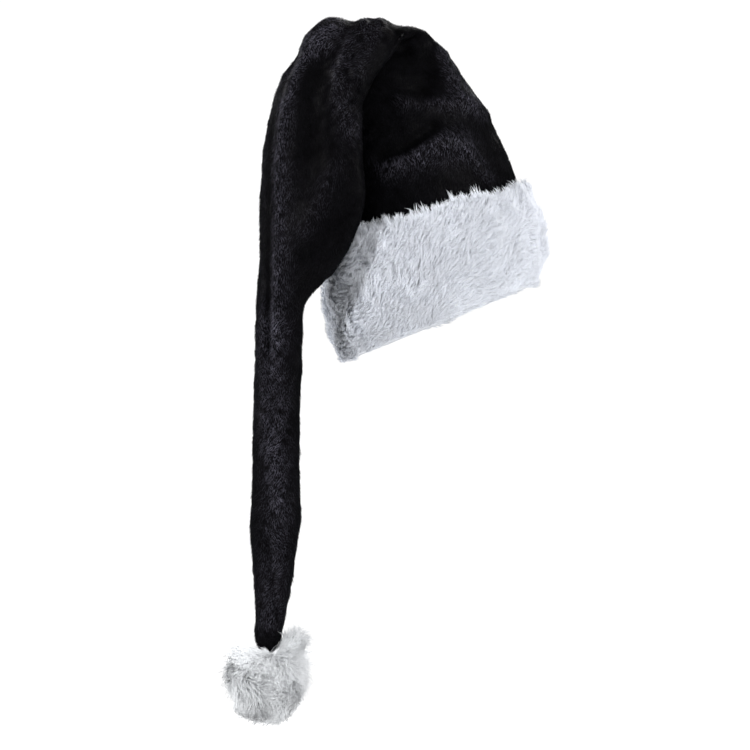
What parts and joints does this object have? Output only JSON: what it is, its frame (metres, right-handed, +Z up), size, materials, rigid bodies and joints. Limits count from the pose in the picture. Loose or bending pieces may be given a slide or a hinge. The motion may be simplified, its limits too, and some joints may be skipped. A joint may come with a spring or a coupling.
{
  "type": "long-tailed plush party hat",
  "caption": "Soft plush cap with a wide fur cuff, whose crown folds over at the top into a long hanging tail that ends in a fur pompom.",
  "frame": {"origin": "centre of the head opening, in the plane of the cuff's rim", "axes": "+Z up as worn, +X towards the forehead, +Y towards the wearer's left; the tail hangs on the -Y side"},
  "size_m": [0.327, 0.196, 0.7055],
  "materials": {
    "black_plush": "short dense pile with a soft sheen",
    "white_fur": "long-pile faux fur",
    "white_facing": "brushed knit backing",
    "label_satin": "woven satin, blank",
    "fibre_filling": "loose polyester fibre",
    "white_thread": "spun polyester thread",
    "black_thread": "spun polyester thread"
  },
  "bodies": {
    "crown": {"crown_left_panel": "black_plush", "crown_right_panel": "black_plush", "crown_front_seam": "black_thread", "crown_back_seam": "black_thread", "cuff_fur_band": "white_fur", "cuff_facing": "white_facing", "cuff_hem_stitches": "white_thread", "cuff_top_stitches": "black_thread", "care_label": "label_satin"},
    "pouch": {"pouch_outer_panel": "black_plush", "pouch_inner_panel": "black_plush", "pouch_front_seam": "black_thread", "pouch_back_seam": "black_thread"},
    "tail_middle": {"middle_outer_panel": "black_plush", "middle_inner_panel": "black_plush", "middle_front_seam": "black_thread", "middle_back_seam": "black_thread"},
    "tail_lower": {"lower_outer_panel": "black_plush", "lower_inner_panel": "black_plush", "lower_front_seam": "black_thread", "lower_back_seam": "black_thread", "tip_binding": "black_thread"},
    "pompom": {"pompom_fur": "white_fur", "pompom_stuffing": "fibre_filling", "pompom_tie": "white_thread"}
  },
  "joints": [
    {"name": "tail_swing", "type": "hinge", "parent": "crown", "child": "pouch", "pos_m": [-0.116, -0.054, 0.2575], "axis": [0, 1, 0], "range_deg": [0, 60]},
    {"name": "neck_sway", "type": "hinge", "parent": "pouch", "child": "tail_middle", "pos_m": [-0.1585, -0.0485, 0.015], "axis": [0.9397, -0.342, 0], "range_deg": [-50, 50]},
    {"name": "tail_bend", "type": "hinge", "parent": "tail_middle", "child": "tail_lower", "pos_m": [-0.1668, -0.0455, -0.15], "axis": [0.342, 0.9397, 0], "range_deg": [-45, 45]},
    {"name": "pompom_nod", "type": "hinge", "parent": "tail_lower", "child": "pompom", "pos_m": [-0.175, -0.0425, -0.3365], "axis": [0.9397, -0.342, 0], "range_deg": [-45, 45]}
  ]
}
